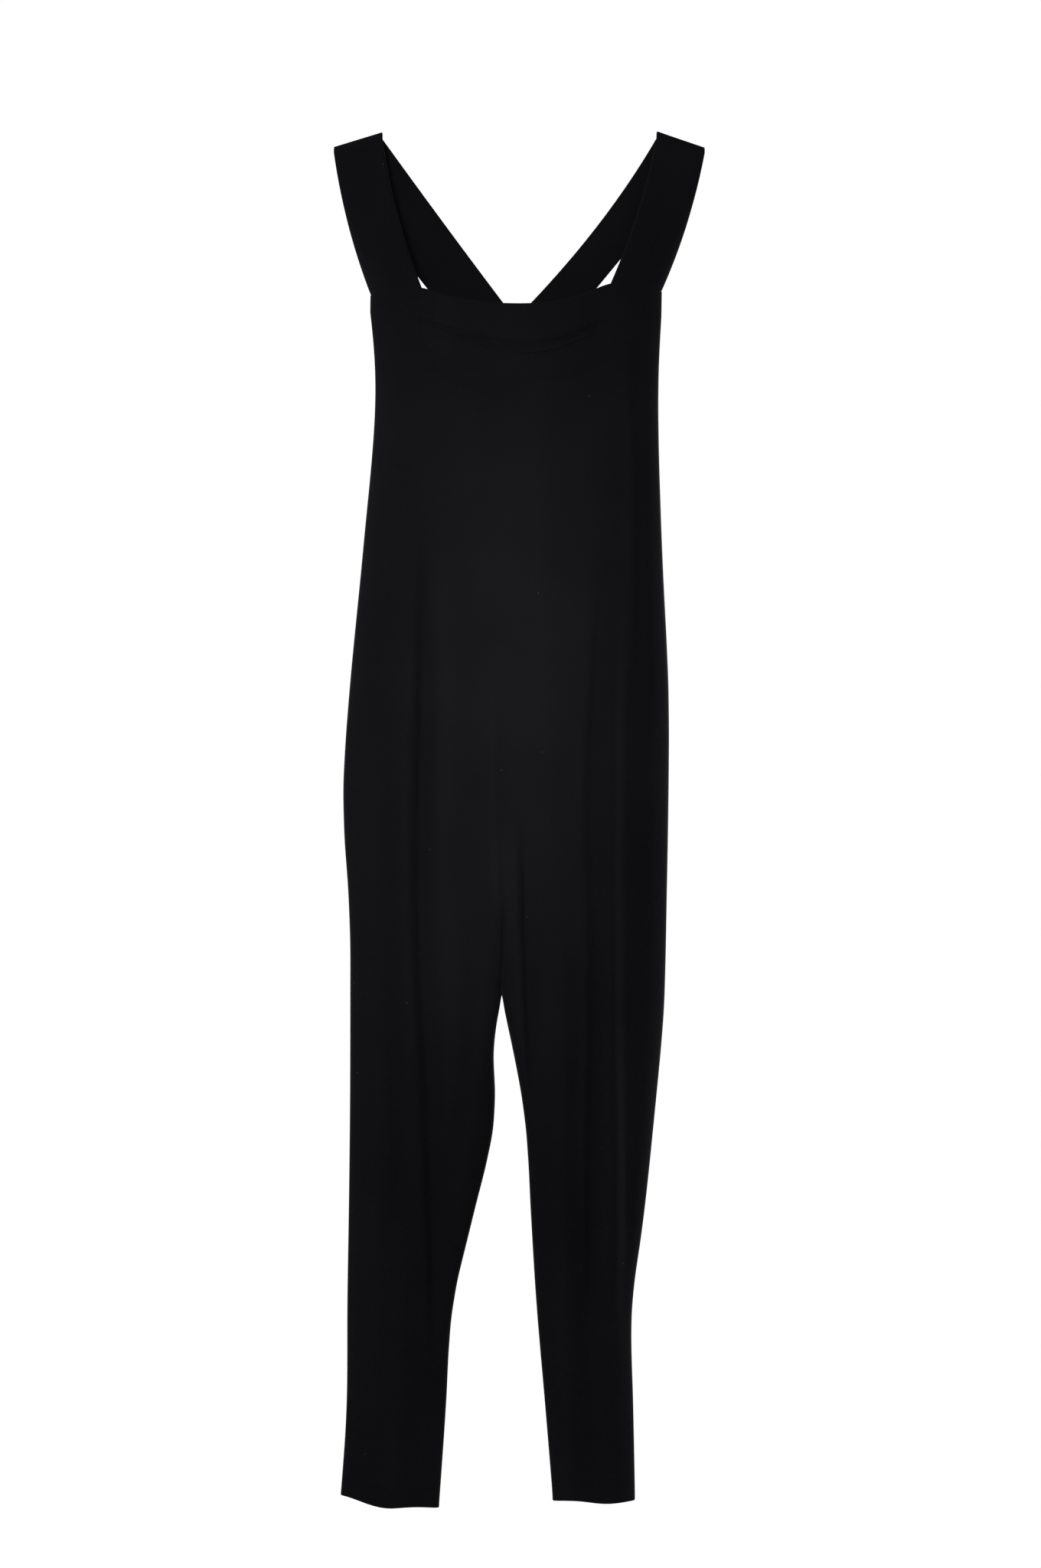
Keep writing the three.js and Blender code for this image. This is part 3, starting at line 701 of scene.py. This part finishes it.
# %% Hems and seam edges
HEM_DEPTH = 0.020
HEM_COLUMNS, HEM_ROWS = 64, 8
LEG_MIDDLE = 0.09  # from the midline to somewhere inside either ankle
SEAM_EDGE, SEAM_THICKNESS = 0.006, 0.0014
SEAM_START = 0.020  # a seam's edge starts this far below the seam's upper end
SEAM_COLUMNS, SEAM_ROWS = 3, 120
TRIM_PIECES = {"knit": CLOTH_PIECES, "lining": [], "thread": []}


def hem_place(side):
    """A ring round one ankle: the front from inseam to side seam, then the back from side seam to inseam."""

    def place(s, t):
        on_front = s <= 0.5
        u = eased(np.where(on_front, 2 * s, 2 - 2 * s))
        drop = hem_drop(side, u) - HEM_DEPTH * (1 - t)
        front, back = (cloth(side, face, drop, u, -JERSEY - HAIR) for face in (FRONT, BACK))
        return np.where(on_front[..., None], front, back)

    return place


def hem_facing(side):
    """Outwards all round an ankle, which is wide and shallow."""
    return lambda centres: (centres - np.array([SIGN[side] * LEG_MIDDLE, 0, 0])) * np.array([1, 4, 0])


def seam_place(side, u, start, end):
    """A narrow strip that stands inwards from the seam at u, between two drops."""

    def place(s, t):
        drop = start + (end - start) * t
        points = (cloth(side, FRONT, drop, u, -JERSEY) + cloth(side, BACK, drop, u, -JERSEY)) / 2
        points[..., 0] += SIGN[side] * (-1 if u == 1 else 1) * SEAM_EDGE * s
        return points

    return place


for side in SIGN:
    name, place = f"{side}_ankle_hem_cloth", hem_place(side)
    hem, sizes = cut_sheet(name, HEM_COLUMNS, HEM_ROWS, place, JERSEY, hem_facing(side), closed=True)
    declare_cloth(hem, sizes, f"{side}_ankle_hem")
    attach(hem, f"{side}_leg")
    CLOTH_PIECES.append(hem)
    for kind, u, top, nodes in (
        ("side_seam", 1, max(UNDERARM[side], SLICES_FROM), (f"{side}_side_seam", f"{side}_leg_side_seam")),
        ("inseam", 0, CROTCH, (f"{side}_inseam",)),
    ):
        name, place = f"{side}_{kind}_edge", seam_place(side, u, top + SEAM_START, HEM[side] - HEM_DEPTH)
        edge, sizes = cut_sheet(
            name, SEAM_COLUMNS, SEAM_ROWS, place, SEAM_THICKNESS, towards(FRONT), inwards=False
        )
        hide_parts(*nodes)
        hang(edge, side)
        TRIM_PIECES["thread"].append(edge)

# %% Crotch linings
LINING_RISE, LINING_FOOT, LINING_HALF_WIDTH = 0.080, 0.040, 0.032
LINING_TAPER = 0.3  # of its width lost at its foot
LINING_CLEAR = 0.0004
LINING_COLUMNS, LINING_ROWS = 24, 14
HIP_HALF_WIDTH = 0.144
GROOVE_CLEAR, GROOVE_WIDTH = 0.0018, 0.010  # it lies further in behind the groove above the crotch


def lining_place(face):
    """A patch across the midline, wider at its top."""

    def place(s, t):
        drop = CROTCH - LINING_RISE + (LINING_RISE - LINING_FOOT) * t
        signed = (2 * s - 1) * LINING_HALF_WIDTH * (1 - LINING_TAPER * t)
        u, offset = np.abs(signed) / HIP_HALF_WIDTH, -JERSEY - LINING_CLEAR
        points = np.where((signed < 0)[..., None], *(cloth(side, face, drop, u, offset) for side in SIGN))
        points[..., 1] -= face * GROOVE_CLEAR * np.exp(-((signed / GROOVE_WIDTH) ** 2))
        return points

    return place


for face, face_name in FACE_NAME.items():
    name, place = f"{face_name}_lining_cloth", lining_place(face)
    lining_piece, sizes = cut_sheet(name, LINING_COLUMNS, LINING_ROWS, place, JERSEY, towards(face))
    declare_cloth(lining_piece, sizes, f"{face_name}_crotch_lining")
    hang(lining_piece)
    TRIM_PIECES["lining"].append(lining_piece)

# %% [markdown]
# ## Stitches
# Twin rows of short stitches hold the bands and the hems, and a bar of them holds each strap's foot. A bump
# pattern could draw them, but a real row casts its own small shadows. One stitch is a small sphere drawn
# out along the thread. It is copied along each row, and the copies of a row, or of a pair of rows, are one
# piece.

# %% One stitch, and rows of it
STITCH_LENGTH, STITCH_PITCH, THREAD_RADIUS = 0.0024, 0.0031, 0.00028
deselect()
bpy.ops.mesh.primitive_uv_sphere_add(segments=6, ring_count=5, radius=1, location=(0, 0, 0))
stitch = bpy.context.object
bpy.ops.object.mode_set(mode="EDIT")
bpy.ops.mesh.select_all(action="SELECT")
bpy.ops.transform.rotate(value=math.pi / 2, orient_axis="Y", center_override=(0, 0, 0))
bpy.ops.transform.resize(value=(STITCH_LENGTH / 2, THREAD_RADIUS, THREAD_RADIUS), center_override=(0, 0, 0))
bpy.ops.object.mode_set(mode="OBJECT")
bpy.ops.object.shade_smooth()
STITCH = stitch.data
bpy.data.objects.remove(stitch)


def stitch_rows(name, rows, outwards):
    """Stitches a pitch apart along lines of points, each a copy laid along its line and sunk halfway in."""
    copies = []
    for line in rows:
        lengths = np.concatenate([[0], np.cumsum(np.linalg.norm(np.diff(line, axis=0), axis=1))])
        for place in np.arange(STITCH_PITCH / 2, lengths[-1], STITCH_PITCH):
            at, ahead, behind = (
                Vector([np.interp(place + reach, lengths, line[:, k]) for k in range(3)])
                for reach in (0, STITCH_LENGTH / 2, -STITCH_LENGTH / 2)
            )
            along = (ahead - behind).normalized()
            out = (outwards - along * outwards.dot(along)).normalized()
            turn = Matrix((along, out.cross(along), out)).transposed().to_4x4()
            mesh = STITCH.copy()
            mesh.transform(Matrix.Translation(at) @ turn)
            copy = bpy.data.objects.new(name, mesh)
            bpy.context.collection.objects.link(copy)
            copies.append(copy)
    make_active(copies[0])
    for copy in copies:
        copy.select_set(True)
    bpy.ops.object.join()
    piece = bpy.context.object
    piece.name = piece.data.name = name
    print(name, "stitches", len(copies))
    TRIM_PIECES["thread"].append(piece)
    return piece


# %% Band stitches
BAND_POINTS = np.linspace(0.01, 0.99, 240)[None, :]  # places along a band, from one end to the other

for face, face_name in FACE_NAME.items():
    place, lines = band_place(face, least=HAIR), []
    for below in stitch_lines(face):
        down_band = np.full_like(BAND_POINTS, below / BAND_DEPTH[face])
        lines.append(place(BAND_POINTS, down_band)[0])
    rows = stitch_rows(f"{face_name}_band_stitches", lines, Vector((0, face, 0)))
    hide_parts(f"{face_name}_band_stitching")
    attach(rows, "torso")

# %% Hem stitches, and bars of stitches at the straps' feet
BELOW_RAW_EDGE = 0.0035  # from the hem's raw edge down to its upper row of stitches
HEM_POINTS = eased(np.linspace(0, 1, 60))
BAR_POINTS = 40
BAR_START, BAR_END = 0.02, 0.97  # a front bar starts this far past the foot's inner edge, and ends at this u
FRONT_BAR, BACK_BAR = (0.55, 0.80), (0.35, 0.80)  # how far down the tucked foot its two rows run


def hem_stitches(side):
    """Two rows round one hem. Each row has a front piece and a back piece."""
    pieces = []
    for i in range(2):
        drop = hem_drop(side, HEM_POINTS) - HEM_DEPTH + BELOW_RAW_EDGE + i * ROW_GAP
        for face, face_name in FACE_NAME.items():
            name = f"{side}_hem_{face_name}_stitches_{len(pieces)}"
            line = cloth(side, face, drop, HEM_POINTS)
            pieces.append(stitch_rows(name, [line], Vector((0, face, 0))))
    return pieces


def foot_bar(name, side, face, u, shares, offset=0.0):
    """Two rows across one foot, which lies on the half of the garment that side names."""
    lines = [cloth(side, face, top_drop(side, face, u) + TUCK * share, u, offset) for share in shares]
    return stitch_rows(name, lines, Vector((0, face, 0)))


for side, other in OTHER.items():
    pieces = hem_stitches(side)
    for rows in pieces:
        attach(rows, f"{side}_leg")
    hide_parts(f"{side}_hem_stitching")
    u = np.linspace(FRONT_FOOT[side] + BAR_START, BAR_END, BAR_POINTS)
    rows = foot_bar(f"{side}_front_bar", side, FRONT, u, FRONT_BAR)
    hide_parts(f"{side}_front_strap_tack")
    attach(rows, "torso")
    u = np.linspace(BACK_FOOT, BACK_FOOT + STRAP_WIDTH, BAR_POINTS) / OUTER[other][0]
    rows = foot_bar(f"{side}_back_bar", other, BACK, u, BACK_BAR, BAND_PROUD)
    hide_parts(f"{side}_back_strap_tack")
    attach(rows, "torso")

# %% [markdown]
# ## Materials
# A material is a recipe of nodes. The class below lets a recipe be written as sums: it wraps a node's
# output, and adding or multiplying two of them adds the Math node that does it.

# %% A socket that can be added and multiplied
class Link:
    """A node's output. Sums with it add Math nodes, whichever side of the sign it stands on."""

    def __init__(self, recipe, socket):
        self.recipe, self.socket = recipe, socket

    def _math(self, operation, *values):
        return self.recipe.node("ShaderNodeMath", {"operation": operation}, dict(enumerate(values)))

    def __add__(self, other):
        return self._math("ADD", self, other)

    def __radd__(self, other):
        return self._math("ADD", other, self)

    def __sub__(self, other):
        return self._math("SUBTRACT", self, other)

    def __rsub__(self, other):
        return self._math("SUBTRACT", other, self)

    def __mul__(self, other):
        return self._math("MULTIPLY", self, other)

    def __rmul__(self, other):
        return self._math("MULTIPLY", other, self)

    def sine(self):
        return self._math("SINE", self)

    def size(self):
        return self._math("ABSOLUTE", self)

    def below(self, limit):
        return self._math("LESS_THAN", self, limit)


class Recipe:
    """A material with one Principled shader, and the nodes that feed it."""

    def __init__(self, name, roughness, specular, sheen=0.0, sheen_roughness=0.4):
        self.material = bpy.data.materials.new(name)
        self.material.use_nodes = True
        self.tree = self.material.node_tree
        self.shader = self.tree.nodes["Principled BSDF"]
        self.shader.inputs["Roughness"].default_value = roughness
        self.shader.inputs["Specular IOR Level"].default_value = specular
        self.shader.inputs["Sheen Weight"].default_value = sheen
        self.shader.inputs["Sheen Roughness"].default_value = sheen_roughness

    def node(self, kind, settings=None, values=None, output=0):
        """Adds a node: its type, its settings, and the values or links of its sockets."""
        made = self.tree.nodes.new(kind)
        for key, value in (settings or {}).items():
            setattr(made, key, value)
        for key, value in (values or {}).items():
            if isinstance(value, Link):
                self.tree.links.new(value.socket, made.inputs[key])
            else:
                made.inputs[key].default_value = value
        return Link(self, made.outputs[output])

    def feed(self, name, link):
        self.tree.links.new(link.socket, self.shader.inputs[name])

    def mixed(self, share, first, second):
        """A colour between two others. The colour sockets go by number, as their names aren't their own."""
        return self.node("ShaderNodeMix", {"data_type": "RGBA"}, {0: share, 6: first, 7: second}, output=2)

    def bump(self, height, strength, distance):
        values = {"Height": height, "Strength": strength, "Distance": distance}
        self.feed("Normal", self.node("ShaderNodeBump", None, values))


# %% [markdown]
# ### The jersey
# Plain jersey shows fine upright ribs, its wales, crossed by rows of loops, its courses. Both are far too
# small to model, so they are bump from two sine waves on the UV map. The black is never even: it is a
# little greyer where the cloth is worn, and a few specks of lint catch the light.

# %% Jersey
BLACK, WORN_BLACK = (0.0090, 0.0086, 0.0112, 1), (0.0114, 0.0110, 0.0134, 1)
LINT, LINT_SIZE = (0.07, 0.07, 0.075, 1), 0.020


def jersey(name, wale, course, sheen):
    """A fine knit, with wales and courses of given widths."""
    recipe = Recipe(name, roughness=0.88, specular=0.10, sheen=sheen, sheen_roughness=0.35)
    uv = recipe.node("ShaderNodeTexCoord", output="UV")
    place = recipe.node("ShaderNodeTexCoord", output="Object")
    across_cloth = recipe.node("ShaderNodeSeparateXYZ", None, {0: uv}, output="X")
    down_cloth = recipe.node("ShaderNodeSeparateXYZ", None, {0: uv}, output="Y")
    rib = (across_cloth * (math.pi / wale)).sine().size()
    loop = (down_cloth * (2 * math.pi / course) + rib * 1.6).sine()
    broad = recipe.node("ShaderNodeTexNoise", None, {"Vector": place, "Scale": 11.0, "Detail": 3.0})
    fuzz = recipe.node("ShaderNodeTexNoise", None, {"Vector": place, "Scale": 900.0, "Detail": 2.0})
    lint_cell = recipe.node("ShaderNodeTexVoronoi", None, {"Vector": place, "Scale": 34.0})
    speck = lint_cell.below(LINT_SIZE)
    wear_range = {"Value": broad + fuzz * 0.5, "From Min": 0.55, "From Max": 0.95}
    wear = recipe.node("ShaderNodeMapRange", None, wear_range)
    base = recipe.mixed(wear, BLACK, WORN_BLACK)
    recipe.feed("Base Color", recipe.mixed(speck, base, LINT))
    recipe.feed("Roughness", 0.80 + fuzz * 0.14)
    recipe.bump(rib * 0.6 + loop * 0.25 + fuzz * 0.5, 0.35, 0.00035)
    return recipe.material


# %% [markdown]
# ### Thread, elastic and labels
# Thread is twisted, and elastic tape and label ribbon are woven, so each shows fine slanting ribs. Some of
# these pieces have no UV map, so the ribs are a sine wave on their Object coordinates, as bump and as
# painted shade: the colour is darker in the grooves and lighter on the crests, over a random unevenness.

# %% Thread, elastic and labels
def ribbed(name, dark, light, pitch, roughness, specular):
    """A woven or twisted finish: fine slanting ribs, with painted shade in their grooves and a little unevenness.
    """
    recipe = Recipe(name, roughness, specular)
    place = recipe.node("ShaderNodeTexCoord", output="Object")
    height = recipe.node("ShaderNodeSeparateXYZ", None, {0: place}, output="Z")
    aside = recipe.node("ShaderNodeSeparateXYZ", None, {0: place}, output="X")
    rib = (height * (math.pi / pitch) + aside * (0.8 * math.pi / pitch)).sine().size()
    grain = recipe.node("ShaderNodeTexNoise", None, {"Vector": place, "Scale": 400.0})
    # Painted shade: the colour follows the rib height, darker in the grooves between ribs and lighter on their
    # crests; the grain adds a random unevenness of tone.
    recipe.feed("Base Color", recipe.mixed(rib * 0.5 + grain * 0.5, dark, light))
    recipe.feed("Roughness", roughness - 0.08 + grain * 0.16)
    recipe.bump(rib + grain * 0.4, 0.3, 0.0003)
    return recipe.material


KNIT = jersey("black_jersey", wale=0.00085, course=0.0011, sheen=0.05)
LINING = jersey("lining_jersey", wale=0.0006, course=0.0008, sheen=0.1)
THREAD = ribbed("black_thread", (0.007, 0.007, 0.008, 1), (0.012, 0.012, 0.013, 1), 0.0004, 0.75, 0.12)
ELASTIC = ribbed("black_elastic", (0.009, 0.009, 0.010, 1), (0.018, 0.018, 0.019, 1), 0.0009, 0.75, 0.15)
LABEL = ribbed("blank_label", (0.60, 0.59, 0.56, 1), (0.78, 0.77, 0.74, 1), 0.0005, 0.55, 0.4)


# %% Each piece gets its finish
def dress(piece, material):
    """Gives a new piece its material."""
    piece.data.materials.clear()
    piece.data.materials.append(material)


for piece in TRIM_PIECES["knit"]:
    dress(piece, KNIT)
for piece in TRIM_PIECES["lining"]:
    dress(piece, LINING)
for piece in TRIM_PIECES["thread"]:
    dress(piece, THREAD)
CAD_FINISH = {"elastic": ELASTIC, "label": LABEL, "seam": THREAD}
for name, node in frame["nodes"].items():
    if not node.hide_render:
        finish = next(material for word, material in CAD_FINISH.items() if word in name)
        node.data.materials.clear()
        node.data.materials.append(finish)
        print("kept", name, "in", finish.name)

# %% [markdown]
# ## Floor, light and camera
# Black cloth shows its shape only through soft light. A broad softbox lights the front, narrow beams
# brighten the middle of the trunk, and two strips and the white room give the edges their thin pale rims.
# Two more softboxes stand behind, for a look at the back. The garment hangs well clear of a plain pale
# floor.

# %% Floor and surroundings
FLOOR_DROP, FLOOR_RADIUS, FLOOR_THICKNESS = 1.75, 2.0, 0.02
deselect()
bpy.ops.mesh.primitive_cylinder_add(
    vertices=96,
    radius=FLOOR_RADIUS,
    depth=FLOOR_THICKNESS,
    location=(0, 0, -FLOOR_DROP - FLOOR_THICKNESS / 2),
)
floor = bpy.context.object
floor.name = "floor"
pale = Recipe("pale_floor", 0.9, 0.1)
pale.shader.inputs["Base Color"].default_value = (0.86, 0.86, 0.85, 1)
floor.data.materials.append(pale.material)

ROOM_LIGHT = 0.068  # how much the room lights the cloth, while it looks white behind it
world = bpy.data.worlds.new("white_room")
bpy.context.scene.world = world
world.use_nodes = True
background = world.node_tree.nodes["Background"]
background.inputs["Color"].default_value = (1, 1, 1, 1)
seen = world.node_tree.nodes.new("ShaderNodeLightPath")
strength = world.node_tree.nodes.new("ShaderNodeMapRange")
strength.inputs["To Min"].default_value = ROOM_LIGHT
strength.inputs["To Max"].default_value = 1.0
world.node_tree.links.new(seen.outputs["Is Camera Ray"], strength.inputs["Value"])
world.node_tree.links.new(strength.outputs["Result"], background.inputs["Strength"])


# %% Softboxes and beams
def softbox(name, place, aim, size, power):
    """A flat rectangular lamp that isn't seen itself."""
    light = bpy.data.lights.new(name, "AREA")
    light.shape, light.size, light.size_y, light.energy = "RECTANGLE", size[0], size[1], power
    lamp = bpy.data.objects.new(name, light)
    bpy.context.collection.objects.link(lamp)
    lamp.location = place
    lamp.rotation_euler = (Vector(aim) - Vector(place)).to_track_quat("-Z", "Y").to_euler()
    lamp.visible_camera = False


softbox("key_softbox", (-0.8, -2.4, 0.50), (0, 0, -0.30), (1.4, 0.9), 17)
softbox("left_strip", (1.3, 0.15, -0.4), (0, 0, -0.45), (0.3, 1.3), 8)
softbox("right_strip", (-1.3, -0.1, 0.1), (0, 0, -0.30), (0.3, 0.8), 6)
softbox("back_softbox", (1.9, 2.0, 0.60), (0, 0, -0.45), (1.2, 0.9), 30)
softbox("back_fill", (-1.9, 2.0, -0.40), (0, 0, -0.60), (0.6, 1.2), 9)

# Narrow beams, one above another, brighten the middle of the trunk: each is (drop, place across, power).
BEAMS = [
    (0.22, 0, 60),
    (0.31, 0, 84),
    (0.40, 0, 108),
    (0.49, 0, 120),
    (0.58, -0.005, 96),
    (0.68, -0.015, 84),
    (0.76, -0.03, 40),
]
BEAM_DISTANCE, BEAM_RADIUS, BEAM_ANGLE = 2.4, 0.10, math.radians(4.2)
WARM_WHITE = (1.0, 0.98, 0.93)
for drop, place_across, power in BEAMS:
    light = bpy.data.lights.new("beam", "SPOT")
    light.energy, light.shadow_soft_size = power, BEAM_RADIUS
    light.color = WARM_WHITE
    light.spot_size, light.spot_blend = BEAM_ANGLE, 1.0
    lamp = bpy.data.objects.new("beam", light)
    bpy.context.collection.objects.link(lamp)
    lamp.location = (place_across, -BEAM_DISTANCE, -drop)
    lamp.rotation_euler = (math.pi / 2, 0, 0)

# %% Camera
FRAME_HEIGHT = 1.391  # what the picture takes in at the garment, top to bottom
DISTANCE = 3.4
AIM = (0.0134, 0.0, -0.566)
ROLL = math.radians(-0.976)
SENSOR = 36
camera = bpy.data.objects.new("camera", bpy.data.cameras.new("camera"))
bpy.context.collection.objects.link(camera)
camera.location = (AIM[0], AIM[1] - DISTANCE, AIM[2])
camera.rotation_euler = (math.pi / 2, ROLL, 0)
camera.data.sensor_fit = "VERTICAL"
camera.data.sensor_height = SENSOR
camera.data.lens = SENSOR * DISTANCE / FRAME_HEIGHT
bpy.context.scene.camera = camera
bpy.context.scene.view_settings.view_transform = "Standard"

# %% Update the scene
bpy.context.view_layer.update()
